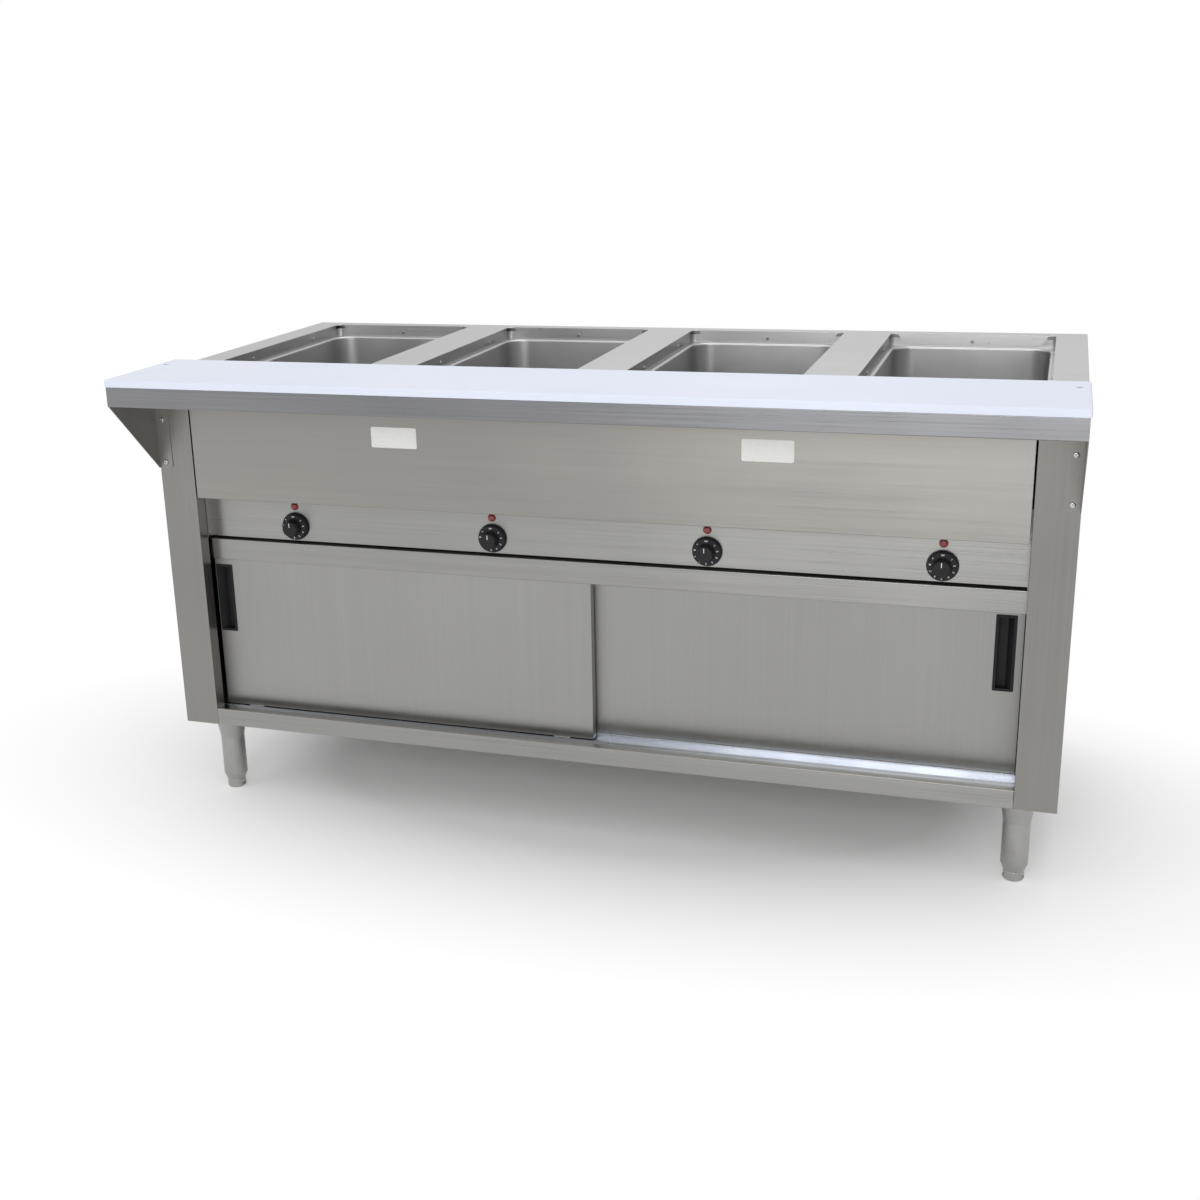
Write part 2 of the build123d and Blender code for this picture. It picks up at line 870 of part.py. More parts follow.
def make_bracket_screws():
    screws = []
    seat = front - bracket_sheet
    for side in (-1, 1):
        x = side * (half_length - bracket_screw_inset)
        for height in bracket_screw_heights:
            head = round_bar(x, seat, height, bracket_screw_head_radius, bracket_screw_head_height)
            rim = head.edges().filter_by(GeomType.CIRCLE).sort_by(Axis.Y)[:1]
            head = fillet(rim, bracket_screw_head_height * 0.7)
            shank = round_bar(
                x, seat + bracket_screw_length, height, bracket_screw_radius, bracket_screw_length
            )
            recess = cross_recess(
                x,
                seat - bracket_screw_head_height,
                height,
                bracket_screw_head_radius * 1.1,
                bracket_screw_head_height / 2,
            )
            screws.append(head + shank - recess)
    return Compound(children=screws)


# Controls


def make_thermostats():
    """The four switch bodies behind the panel, each with a hollow neck for its shaft."""
    bodies = []
    rear = panel_face + sheet
    for x in control_places:
        case = block(
            (x - thermostat_width / 2, x + thermostat_width / 2),
            (rear, rear + thermostat_depth),
            (control_height - thermostat_height / 2, control_height + thermostat_height / 2),
        )
        case = fillet(case.edges().filter_by(Axis.Y), thermostat_corner)
        case += round_bar(x, rear, control_height, thermostat_neck_radius, thermostat_neck)
        bore = shaft_radius + shaft_clearance
        case -= round_bar(x, rear + shaft_seat, control_height, bore, shaft_seat + thermostat_neck)
        for middle in (x - tab_offset, x + tab_offset):
            case += block(
                (middle - tab_width / 2, middle + tab_width / 2),
                (rear + thermostat_depth, rear + thermostat_depth + tab_length),
                (control_height - tab_thickness / 2, control_height + tab_thickness / 2),
            )
        bodies.append(case)
    return Compound(children=bodies)


def make_thermostat_shaft(x):
    """The steel shaft that a knob turns, from inside the switch to inside the knob."""
    rear = panel_face + sheet + shaft_seat - shaft_end_gap
    tip = panel_face - knob_gap - knob_bore_depth + shaft_end_gap / 2
    shaft = round_bar(x, rear, control_height, shaft_radius, rear - tip)
    shaft -= block(
        (x - shaft_radius, x + shaft_radius),
        (tip, panel_face - knob_gap),
        (control_height + shaft_radius - shaft_flat, control_height + shaft_radius),
    )
    return shaft


def make_knob(x):
    """A control knob: a bevelled dial skirt and a scalloped grip."""
    seat = (Align.CENTER, Align.CENTER, Align.MIN)
    skirt = Cone(knob_radius, knob_radius - knob_skirt_slope, knob_skirt, align=seat)
    skirt = fillet(skirt.edges().filter_by(GeomType.CIRCLE).sort_by(Axis.Z)[-1:], knob_skirt_round)
    hub_length = knob_length - knob_skirt
    hub = Pos(0, 0, knob_skirt) * Cone(
        knob_hub_radius,
        knob_hub_radius - knob_hub_taper,
        hub_length,
        align=seat,
    )
    hub = fillet(hub.edges().filter_by(GeomType.CIRCLE).sort_by(Axis.Z)[-1:], knob_hub_round)
    for i in range(knob_scallops):
        angle = 2 * math.pi * (i + 0.5) / knob_scallops
        x_cut = knob_scallop_reach * math.cos(angle)
        y_cut = knob_scallop_reach * math.sin(angle)
        hub -= upright(x_cut, y_cut, knob_skirt, knob_length, knob_scallop_radius)
    knob = skirt + hub
    bore = shaft_radius + shaft_clearance
    knob -= Pos(0, 0, knob_bore_depth / 2) * Cylinder(bore, knob_bore_depth)
    key_bottom = shaft_radius - shaft_flat + shaft_clearance
    key = block((-bore, bore), (key_bottom, bore), (0, knob_bore_depth))
    knob += key & (Pos(0, 0, knob_bore_depth / 2) * Cylinder(bore, knob_bore_depth))
    return Pos(x, panel_face - knob_gap, control_height) * Rot(90, 0, 0) * knob


def make_lamp_bodies():
    """The four lamp holders: a bezel on the panel and a barrel behind it."""
    bodies = []
    for x in control_places:
        z = control_height + lamp_rise
        barrel = round_bar(
            x, panel_face + lamp_body_depth, z, lamp_body_radius, lamp_body_depth
        )
        bezel = round_bar(x, panel_face, z, lamp_bezel_radius, lamp_bezel)
        bezel = fillet(bezel.edges().filter_by(GeomType.CIRCLE).sort_by(Axis.Y)[:1], lamp_bezel / 2)
        body = barrel + bezel
        body -= round_bar(x, panel_face + lamp_body_depth / 2, z, lamp_radius, lamp_body_depth)
        bodies.append(body)
    return Compound(children=bodies)


def make_lamp_lenses():
    """The four red lenses, each a stepped dome in its bezel."""
    lenses = []
    for x in control_places:
        z = control_height + lamp_rise
        lens = round_bar(x, panel_face + lens_seat, z, lamp_radius - lens_gap, lens_seat + lamp_reach)
        lens = fillet(lens.edges().filter_by(GeomType.CIRCLE).sort_by(Axis.Y)[:1], lens_round)
        floor = panel_face - lamp_reach + lens_groove
        for ring in lens_rings:
            groove = round_bar(x, floor, z, ring + lens_groove, 2 * lens_groove)
            lens -= groove - round_bar(x, floor, z, ring, 2 * lens_groove)
        lenses.append(lens)
    return Compound(children=lenses)


# Wiring and supply


def make_wire_duct():
    """A channel behind the panel that carries the wires from the supply to the switches."""
    reach = (control_places[0] - duct_overrun, control_places[-1] + duct_overrun)
    low = control_height + duct_rise
    rear = panel_face + sheet
    duct = block(reach, (rear, rear + duct_depth), (low, low + duct_height))
    duct -= block(reach, (rear + sheet, rear + duct_depth - sheet), (low + sheet, low + duct_height))
    return duct


def make_terminal_box():
    x0 = terminal_box_side
    rear = back - 2 * sheet
    z0 = terminal_box_bottom
    outer = block(
        (x0, x0 + terminal_box_width),
        (rear - terminal_box_depth, rear + sheet),
        (z0, z0 + terminal_box_height),
    )
    outer = fillet(outer.edges().filter_by(Axis.Y), terminal_box_corner)
    outer -= block(
        (x0 + sheet, x0 + terminal_box_width - sheet),
        (rear - terminal_box_depth + sheet, rear),
        (z0 + sheet, z0 + terminal_box_height - sheet),
    )
    outer -= round_bar(gland_x, rear + 2 * sheet, gland_z, gland_radius + gland_clearance, 5 * sheet)
    return outer


def make_cord_gland():
    """The threaded collar where the supply cable enters, with its nut outside."""
    hexagon = extrude(RegularPolygon(gland_nut_radius, 6), gland_reach)
    nut = Pos(gland_x, back, gland_z) * Rot(-90, 0, 0) * hexagon
    nut = fillet(nut.edges().filter_by(Axis.Y), edge_round)
    collar = round_bar(gland_x, back, gland_z, gland_radius, gland_inside)
    bore = round_bar(gland_x, back + gland_reach, gland_z, gland_bore, gland_inside + gland_reach)
    return nut + collar - bore


# Legs and feet


def make_leg_channel(side):
    """A channel under the floor that two legs are welded to."""
    x = side * (half_length - leg_inset)
    reach = (front + jamb_depth + fit_gap, back_inner - channel_front_gap)
    top = floor_height - sheet
    half_width = channel_width / 2
    channel = block(
        (x - half_width, x + half_width), reach, (cabinet_bottom, cabinet_bottom + channel_sheet)
    )
    for sign in (-1, 1):
        edge = sorted((x + sign * half_width, x + sign * (half_width - channel_sheet)))
        channel += block(edge, reach, (cabinet_bottom, top))
    return channel


def make_leg(x, y):
    """A tube with a flared top plate and a tapered end that holds the foot's nut."""
    taper_top = leg_end + leg_taper_height
    bore = foot_stem_radius + foot_stem_clearance
    inner = leg_radius - leg_wall
    outline = Polyline(
        (bore, leg_end),
        (leg_radius - leg_taper, leg_end),
        (leg_radius, taper_top),
        (leg_radius, cabinet_bottom - leg_flare_height),
        (leg_flare_radius, cabinet_bottom),
        (0, cabinet_bottom),
        (0, cabinet_bottom - leg_plate),
        (inner, cabinet_bottom - leg_plate),
        (inner, leg_end + leg_insert),
        (bore, leg_end + leg_insert),
        close=True,
    )
    leg = revolve(Plane.XZ * make_face(outline), Axis.Z)
    return Pos(x, y, 0) * leg


def make_foot(x, y):
    """A levelling foot: a round pad on a threaded stem that screws into the leg."""
    top = leg_end - foot_stop_gap
    pad = upright(0, 0, 0, top, foot_radius)
    rims = pad.edges().filter_by(GeomType.CIRCLE).sort_by(Axis.Z)
    pad = fillet(rims[:1], foot_round)
    pad = fillet(pad.edges().filter_by(GeomType.CIRCLE).sort_by(Axis.Z)[-1:], edge_round)
    for x_flat in (-foot_radius, foot_radius):
        pad -= block(
            (x_flat - foot_notch_depth, x_flat + foot_notch_depth),
            (-foot_notch_width / 2, foot_notch_width / 2),
            (foot_notch_bottom, foot_notch_top),
        )
    stem = upright(0, 0, top, top + foot_stem_length, foot_stem_radius)
    stem = chamfer(stem.edges().filter_by(GeomType.CIRCLE).sort_by(Axis.Z)[-1:], foot_stem_chamfer)
    return Pos(x, y, 0) * (pad + stem)


# Assembly


def all_parts():
    parts = {
        "top_deck": make_top_deck(),
        "front_deck_rail": make_deck_rail(front + deck_rail_inset),
        "rear_deck_rail": make_deck_rail(back_inner - rear_rail_inset - deck_rail_width),
        "left_side_panel": make_side_panel(-1),
        "right_side_panel": make_side_panel(1),
        "back_panel": make_back_panel(),
        "front_apron": make_front_apron(),
        "control_panel": make_control_panel(),
        "door_header_rail": make_header_rail(),
        "cabinet_floor": make_cabinet_floor(),
        "lower_door_track": make_track(
            floor_height, floor_height + track_lower_rib, floor_height + track_front_wall
        ),
        "upper_door_track": make_track(
            header_top - sheet, header_top - sheet - track_upper_rib, header_top - sheet - track_upper_rib
        ),
        "work_shelf": make_work_shelf(),
        "cutting_board": make_cutting_board(),
        "left_shelf_bracket": make_shelf_bracket(-1),
        "right_shelf_bracket": make_shelf_bracket(1),
        "board_screws": make_board_screws(),
        "bracket_screws": make_bracket_screws(),
        "left_leg_channel": make_leg_channel(-1),
        "right_leg_channel": make_leg_channel(1),
        "well_screws": make_well_screws(),
        "heater_trays": Compound(children=[make_heater_tray(x) for x in well_places]),
        "heater_pads": Compound(children=[make_heater_pad(x) for x in well_places]),
        "thermostat_bodies": make_thermostats(),
        "indicator_bodies": make_lamp_bodies(),
        "indicator_lenses": make_lamp_lenses(),
        "wire_duct": make_wire_duct(),
        "terminal_box": make_terminal_box(),
        "cord_gland": make_cord_gland(),
    }
    doors = {
        "left": (left_door_edge, front_door_face, -1, left_pull_edge_gap),
        "right": (right_door_edge - door_width, rear_door_face, 1, right_pull_edge_gap),
    }
    for name, (left, face, pull_side, edge_gap) in doors.items():
        parts[name + "_door"] = make_door(left, face, pull_side, edge_gap)
        parts[name + "_door_pull"] = make_door_pull(left, face, pull_side, edge_gap)
        parts[name + "_door_glides"] = make_door_glides(left, face)
    for i, x in enumerate(well_places, 1):
        parts[f"well_pan_{i}"] = make_well(x)
        parts[f"heating_element_{i}"] = make_heating_element(x)
    for i, x in enumerate(control_places, 1):
        parts[f"knob_{i}"] = make_knob(x)
        parts[f"thermostat_shaft_{i}"] = make_thermostat_shaft(x)
    for name, (x, y) in leg_places.items():
        parts["leg_" + name] = make_leg(x, y)
        parts["foot_" + name] = make_foot(x, y)
    return parts


def main():
    os.makedirs("parts", exist_ok=True)
    for name, part in all_parts().items():
        export_step(part, f"parts/{name}.step")
    print("left door", left_door_edge, "right door", right_door_edge, "door width", door_width)
    print("knobs", control_places, "wells", well_places)


main()
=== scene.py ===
import json
import math

import bpy
from mathutils import Matrix, Vector


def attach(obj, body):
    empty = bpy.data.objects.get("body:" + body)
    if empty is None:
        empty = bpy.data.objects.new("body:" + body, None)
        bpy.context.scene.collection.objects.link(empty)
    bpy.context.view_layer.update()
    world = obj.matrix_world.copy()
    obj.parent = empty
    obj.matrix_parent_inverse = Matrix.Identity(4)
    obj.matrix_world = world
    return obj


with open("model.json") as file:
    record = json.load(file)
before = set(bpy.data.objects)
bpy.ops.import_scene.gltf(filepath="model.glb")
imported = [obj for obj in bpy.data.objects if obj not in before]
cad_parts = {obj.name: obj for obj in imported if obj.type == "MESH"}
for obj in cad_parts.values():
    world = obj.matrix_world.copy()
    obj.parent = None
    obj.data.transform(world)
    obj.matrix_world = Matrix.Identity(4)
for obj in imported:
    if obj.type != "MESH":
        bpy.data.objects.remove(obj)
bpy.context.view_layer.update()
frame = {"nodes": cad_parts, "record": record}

# Sizes, in metres and in the CAD model's frame unless a name says otherwise
FRONT = -0.277
KNOB_JOINTS = [j for j in frame["record"]["behaviour"]["joints"] if j["name"].startswith("knob_")]
KNOB_PLACES = [joint["pos_m"][0] for joint in KNOB_JOINTS]
KNOB_BACK = KNOB_JOINTS[0]["pos_m"][1]
KNOB_HEIGHT = KNOB_JOINTS[0]["pos_m"][2]
SKIRT_DEPTH = 0.007
KNOB_DEPTH = 0.025
KNOB_FRONT = KNOB_BACK - KNOB_DEPTH
NUMERAL_RADIUS = 0.0191
NUMERAL_SIZE = 0.0046
WORD_SIZE = 0.0032
PRINT_THICKNESS = 0.00012
POINTER_RISE = 0.0076
POINTER_SIZE = (0.0013, 0.0003, 0.0078)
POINTER_EDGE = 0.0001
NUMERAL_STEP_DEGREES = 33
NUMERAL_START_DEGREES = 15
LABELS = {"left_blank_label": (-0.3265, 0.721), "right_blank_label": (0.318, 0.7245)}
LABEL_WIDTH = 0.084
LABEL_HEIGHT = 0.036
LABEL_THICKNESS = 0.0004
LABEL_CORNER = 0.003
LABEL_BORDER = 0.0022
LABEL_STEP = 0.0006
LABEL_SINK = 0.00012
FLOOR_RADIUS = 14
FADE_START = 0.30
FADE_END = 0.72
SENSOR_WIDTH_MM = 36


# Materials


def start_material(name):
    material = bpy.data.materials.new(name)
    material.use_nodes = True
    nodes = material.node_tree.nodes
    shader = nodes["Principled BSDF"]
    return material, nodes, material.node_tree.links, shader


def object_noise(nodes, links, scale, size=1.0, detail=3.0, roughness=0.55, turn=(0, 0, 0)):
    """Noise on Object coordinates, stretched by its own scale on each axis."""
    place = nodes.new("ShaderNodeTexCoord")
    mapping = nodes.new("ShaderNodeMapping")
    mapping.inputs["Scale"].default_value = scale
    mapping.inputs["Rotation"].default_value = turn
    noise = nodes.new("ShaderNodeTexNoise")
    noise.inputs["Scale"].default_value = size
    noise.inputs["Detail"].default_value = detail
    noise.inputs["Roughness"].default_value = roughness
    links.new(place.outputs["Object"], mapping.inputs["Vector"])
    links.new(mapping.outputs["Vector"], noise.inputs["Vector"])
    return noise.outputs["Fac"]


def spread(nodes, links, value, low, high, start=0.3, end=0.7):
    """Maps a noise value onto a range."""
    node = nodes.new("ShaderNodeMapRange")
    node.inputs["From Min"].default_value = start
    node.inputs["From Max"].default_value = end
    node.inputs["To Min"].default_value = low
    node.inputs["To Max"].default_value = high
    links.new(value, node.inputs["Value"])
    return node.outputs["Result"]


def two_tone(nodes, links, value, dark, light, start=0.3, end=0.7):
    ramp = nodes.new("ShaderNodeValToRGB")
    ramp.color_ramp.elements[0].position = start
    ramp.color_ramp.elements[0].color = (*dark, 1)
    ramp.color_ramp.elements[1].position = end
    ramp.color_ramp.elements[1].color = (*light, 1)
    links.new(value, ramp.inputs["Fac"])
    return ramp.outputs["Color"]


def mix_colour(nodes, links, kind, factor, first, second):
    mix = nodes.new("ShaderNodeMix")
    mix.data_type = "RGBA"
    mix.blend_type = kind
    if isinstance(factor, float):
        mix.inputs["Factor"].default_value = factor
    else:
        links.new(factor, mix.inputs["Factor"])
    links.new(first, mix.inputs[6])
    links.new(second, mix.inputs[7])
    return mix.outputs[2]


def add_maths(nodes, links, kind, first, second):
    node = nodes.new("ShaderNodeMath")
    node.operation = kind
    for socket, value in zip(node.inputs, (first, second)):
        if isinstance(value, float):
            socket.default_value = value
        else:
            links.new(value, socket)
    return node.outputs["Value"]


def add_bump(nodes, links, shader, height, strength, distance):
    bump = nodes.new("ShaderNodeBump")
    bump.inputs["Strength"].default_value = strength
    bump.inputs["Distance"].default_value = distance
    links.new(height, bump.inputs["Height"])
    links.new(bump.outputs["Normal"], shader.inputs["Normal"])


def brushed_steel(
    name, colour, roughness, grain, contrast=0.05, smudge=0.06, bump=0.12, specks=False
):
    """Brushed sheet: fine lines along the grain, with slow changes of tone and sheen."""
    material, nodes, links, shader = start_material(name)
    shader.inputs["Metallic"].default_value = 1.0
    along = {"x": (3, 420, 420), "y": (420, 3, 420), "z": (420, 420, 3)}[grain]
    broad_along = {"x": (0.7, 60, 60), "y": (60, 0.7, 60), "z": (60, 60, 0.7)}[grain]
    lines = object_noise(nodes, links, along, detail=4.0)
    bands = object_noise(nodes, links, broad_along, detail=3.0)
    clouds = object_noise(nodes, links, (3.1, 3.7, 4.3), detail=2.0)
    dark = [c * (1 - contrast) for c in colour]
    light = [min(1, c * (1 + contrast)) for c in colour]
    fine = two_tone(nodes, links, lines, dark, light)
    wide = two_tone(nodes, links, bands, [1 - contrast] * 3, [1, 1, 1])
    tone = mix_colour(nodes, links, "MULTIPLY", 1.0, fine, wide)
    slow = two_tone(nodes, links, clouds, [1 - smudge, 1 - smudge, 1 - smudge * 0.8], [1, 1, 1])
    tone = mix_colour(nodes, links, "MULTIPLY", 1.0, tone, slow)
    if specks:
        spots = object_noise(nodes, links, (150, 150, 150), detail=1.0)
        marks = two_tone(nodes, links, spots, [0.55, 0.53, 0.5], [1, 1, 1], 0.235, 0.26)
        tone = mix_colour(nodes, links, "MULTIPLY", 1.0, tone, marks)
    links.new(tone, shader.inputs["Base Color"])
    fine_rough = spread(nodes, links, lines, roughness - 0.04, roughness + 0.04)
    slow_rough = spread(nodes, links, clouds, -0.035, 0.035)
    links.new(add_maths(nodes, links, "ADD", fine_rough, slow_rough), shader.inputs["Roughness"])
    add_bump(nodes, links, shader, lines, bump, 0.0004)
    across = nodes.new("ShaderNodeCombineXYZ")
    for axis in "XYZ":
        across.inputs[axis].default_value = 0.0 if axis == grain.upper() else 1.0
    links.new(across.outputs["Vector"], shader.inputs["Tangent"])
    shader.inputs["Anisotropic"].default_value = 0.6
    return material


def plain_steel(name, colour, roughness, scale=90.0, contrast=0.06, bump=0.06):
    """Smooth or galvanised steel with a faint mottle."""
    material, nodes, links, shader = start_material(name)
    shader.inputs["Metallic"].default_value = 1.0
    mottle = object_noise(nodes, links, (scale, scale, scale), detail=3.0)
    fine = object_noise(nodes, links, (900, 900, 900), detail=2.0)
    dark = [c * (1 - contrast) for c in colour]
    light = [min(1, c * (1 + contrast)) for c in colour]
    links.new(two_tone(nodes, links, mottle, dark, light), shader.inputs["Base Color"])
    uneven = spread(nodes, links, mottle, roughness - 0.05, roughness + 0.05)
    links.new(uneven, shader.inputs["Roughness"])
    add_bump(nodes, links, shader, fine, bump, 0.0003)
    return material


def moulded(
    name, colour, roughness, texture=700.0, bump=0.12, lift=1.5, coat=0.0, specular=0.5
):
    """Moulded plastic with a fine skin and a little unevenness."""
    material, nodes, links, shader = start_material(name)
    skin = object_noise(nodes, links, (texture, texture, texture), detail=3.0)
    clouds = object_noise(nodes, links, (25, 25, 25), detail=2.0)
    light = [min(1, c * lift) for c in colour]
    links.new(two_tone(nodes, links, clouds, colour, light), shader.inputs["Base Color"])
    uneven = spread(nodes, links, skin, roughness - 0.05, roughness + 0.07)
    links.new(uneven, shader.inputs["Roughness"])
    shader.inputs["Specular IOR Level"].default_value = specular
    shader.inputs["Coat Weight"].default_value = coat
    add_bump(nodes, links, shader, skin, bump, 0.0003)
    return material


def board_plastic():
    """White cutting board: fine matt grain with faint knife marks along and across it."""
    material, nodes, links, shader = start_material("board_white")
    grain = object_noise(nodes, links, (520, 520, 520), detail=4.0)
    clouds = object_noise(nodes, links, (2.2, 3.0, 3.0), detail=2.0)
    along = object_noise(nodes, links, (4, 260, 4), detail=2.0, turn=(0, 0, 0.35))
    across = object_noise(nodes, links, (240, 5, 4), detail=2.0, turn=(0, 0, 0.22))
    base = two_tone(nodes, links, clouds, (0.635, 0.675, 0.78), (0.675, 0.715, 0.81))
    first = two_tone(nodes, links, along, (0.93, 0.93, 0.94), (1, 1, 1), 0.24, 0.30)
    second = two_tone(nodes, links, across, (0.94, 0.94, 0.95), (1, 1, 1), 0.24, 0.30)
    base = mix_colour(nodes, links, "MULTIPLY", 1.0, base, first)
    base = mix_colour(nodes, links, "MULTIPLY", 1.0, base, second)
    links.new(base, shader.inputs["Base Color"])
    links.new(spread(nodes, links, grain, 0.42, 0.55), shader.inputs["Roughness"])
    shader.inputs["Specular IOR Level"].default_value = 0.35
    shader.inputs["Subsurface Weight"].default_value = 0.05
    shader.inputs["Subsurface Radius"].default_value = (0.004, 0.004, 0.004)
    add_bump(nodes, links, shader, grain, 0.15, 0.0003)
    return material


def red_lens():
    """Dark red lens with a thin gloss."""
    material, nodes, links, shader = start_material("lamp_red")
    rings = object_noise(nodes, links, (600, 600, 600), detail=2.0)
    links.new(
        two_tone(nodes, links, rings, (0.18, 0.008, 0.007), (0.26, 0.014, 0.011)),
        shader.inputs["Base Color"],
    )
    links.new(spread(nodes, links, rings, 0.12, 0.2), shader.inputs["Roughness"])
    shader.inputs["Coat Weight"].default_value = 0.6
    shader.inputs["Coat Roughness"].default_value = 0.08
    return material


def label_film():
    """Pale blank label with a soft sheen."""
    material, nodes, links, shader = start_material("label_film")
    fibre = object_noise(nodes, links, (260, 260, 260), detail=3.0)
    links.new(
        two_tone(nodes, links, fibre, (0.70, 0.70, 0.68), (0.76, 0.76, 0.75)),
        shader.inputs["Base Color"],
    )
    links.new(spread(nodes, links, fibre, 0.32, 0.45), shader.inputs["Roughness"])
    add_bump(nodes, links, shader, fibre, 0.05, 0.0002)
    return material


def fibre_board():
    material, nodes, links, shader = start_material("pad_fibre")
    fibre = object_noise(nodes, links, (300, 300, 300), detail=5.0)
    links.new(
        two_tone(nodes, links, fibre, (0.55, 0.53, 0.47), (0.72, 0.70, 0.64)),
        shader.inputs["Base Color"],
    )
    links.new(spread(nodes, links, fibre, 0.85, 0.98), shader.inputs["Roughness"])
    add_bump(nodes, links, shader, fibre, 0.5, 0.001)
    return material


def dial_print():
    material, nodes, links, shader = start_material("dial_print")
    ink = object_noise(nodes, links, (900, 900, 900), detail=2.0)
    links.new(
        two_tone(nodes, links, ink, (0.55, 0.57, 0.62), (0.72, 0.74, 0.80)),
        shader.inputs["Base Color"],
    )
    links.new(spread(nodes, links, ink, 0.4, 0.5), shader.inputs["Roughness"])
    return material


FINISHES = {
    "deck_steel": brushed_steel(
        "deck_steel", (0.45, 0.452, 0.45), 0.34, "x", 0.04, 0.05, specks=True
    ),
    "body_steel": brushed_steel("body_steel", (0.315, 0.305, 0.284), 0.33, "x", 0.03, 0.06),
    "control_steel": brushed_steel("control_steel", (0.345, 0.342, 0.330), 0.31, "x", 0.05, 0.06),
    "rail_steel": brushed_steel("rail_steel", (0.330, 0.327, 0.316), 0.31, "x", 0.06, 0.06),
    "door_steel": brushed_steel("door_steel", (0.345, 0.342, 0.328), 0.36, "z", 0.03, 0.05),
    "post_steel": brushed_steel("post_steel", (0.285, 0.277, 0.256), 0.34, "z", 0.04, 0.08),
    "track_steel": plain_steel("track_steel", (0.42, 0.44, 0.475), 0.24, 9.0, 0.03, 0.01),
    "shelf_steel": brushed_steel("shelf_steel", (0.245, 0.247, 0.255), 0.30, "x", 0.08, 0.08, 0.2),
    "bracket_steel": brushed_steel("bracket_steel", (0.29, 0.282, 0.262), 0.36, "z", 0.05, 0.06),
    "well_steel": plain_steel("well_steel", (0.47, 0.465, 0.467), 0.40, 8.0, 0.05),
    "frame_steel": plain_steel("frame_steel", (0.24, 0.245, 0.25), 0.45, 60.0, 0.12),
    "leg_steel": plain_steel("leg_steel", (0.37, 0.367, 0.355), 0.26, 40.0, 0.05),
    "foot_steel": plain_steel("foot_steel", (0.40, 0.40, 0.385), 0.30, 70.0, 0.07),
    "screw_steel": plain_steel("screw_steel", (0.42, 0.42, 0.42), 0.25, 300.0, 0.08),
    "element_sheath": plain_steel("element_sheath", (0.08, 0.07, 0.065), 0.5, 60.0, 0.25),
    "board_white": board_plastic(),
    "pull_black": moulded("pull_black", (0.008, 0.008, 0.009), 0.5, specular=0.22),
    "knob_black": moulded("knob_black", (0.009, 0.009, 0.010), 0.46, specular=0.25),
    "glide_nylon": moulded("glide_nylon", (0.66, 0.65, 0.60), 0.45, lift=1.08),
    "switch_brown": moulded("switch_brown", (0.045, 0.032, 0.026), 0.4),
    "lamp_bezel": moulded("lamp_bezel", (0.10, 0.015, 0.015), 0.25, coat=0.4),
    "lamp_red": red_lens(),
    "gland_black": moulded("gland_black", (0.025, 0.025, 0.026), 0.5),
    "pad_fibre": fibre_board(),
}
PRINT = dial_print()
LABEL = label_film()


def dress_cad_nodes():
    slots = {s["node"]: s["material_slot"] for s in frame["record"]["subparts"]}
    own = {"left_side_panel": "post_steel", "right_side_panel": "post_steel"}
    for name, node in frame["nodes"].items():
        finish = FINISHES[own.get(name, slots.get(name, "body_steel"))]
        node.data.materials.clear()
        node.data.materials.append(finish)
        for polygon in node.data.polygons:
            polygon.material_index = 0


# New pieces


def begin():
    if bpy.context.object and bpy.context.object.mode != "OBJECT":
        bpy.ops.object.mode_set(mode="OBJECT")
    bpy.ops.object.select_all(action="DESELECT")


def settle(piece, name, material, body):
    """Puts a piece's place into its mesh and hands it to its body."""
    piece.name = name
    piece.data.name = name
    begin()
    piece.select_set(True)
    bpy.context.view_layer.objects.active = piece
    bpy.ops.object.transform_apply(location=True, rotation=True, scale=True)
    piece.data.materials.clear()
    piece.data.materials.append(material)
    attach(piece, body)
    piece.select_set(False)
    return piece


def bevelled(piece, width, segments=2):
    bevel = piece.modifiers.new("edge", "BEVEL")
    bevel.width = width
    bevel.segments = segments
    bevel.limit_method = "ANGLE"
    begin()
    piece.select_set(True)
    bpy.context.view_layer.objects.active = piece
    bpy.ops.object.modifier_apply(modifier=bevel.name)


def make_label(name, x, z):
    """A blank label with rounded corners and a thin raised border, stuck on the apron."""
    begin()
    bpy.ops.mesh.primitive_plane_add(size=1, location=(x, FRONT, z), rotation=(math.pi / 2, 0, 0))
    label = bpy.context.object
    label.scale = (LABEL_WIDTH, LABEL_HEIGHT, 1)
    bpy.ops.object.transform_apply(location=False, rotation=False, scale=True)
    bpy.ops.object.mode_set(mode="EDIT")
    bpy.ops.mesh.select_all(action="SELECT")
    bpy.ops.mesh.bevel(offset=LABEL_CORNER, segments=4, affect="VERTICES")
    bpy.ops.mesh.select_all(action="SELECT")
    bpy.ops.mesh.extrude_region_move(TRANSFORM_OT_translate={"value": (0, -LABEL_THICKNESS, 0)})
    bpy.ops.mesh.inset(thickness=LABEL_BORDER, depth=0.0)
    bpy.ops.mesh.inset(thickness=LABEL_STEP, depth=-LABEL_SINK)
    bpy.ops.mesh.select_all(action="SELECT")
    bpy.ops.mesh.normals_make_consistent(inside=False)
    bpy.ops.object.mode_set(mode="OBJECT")
    return settle(label, name, LABEL, "cabinet")


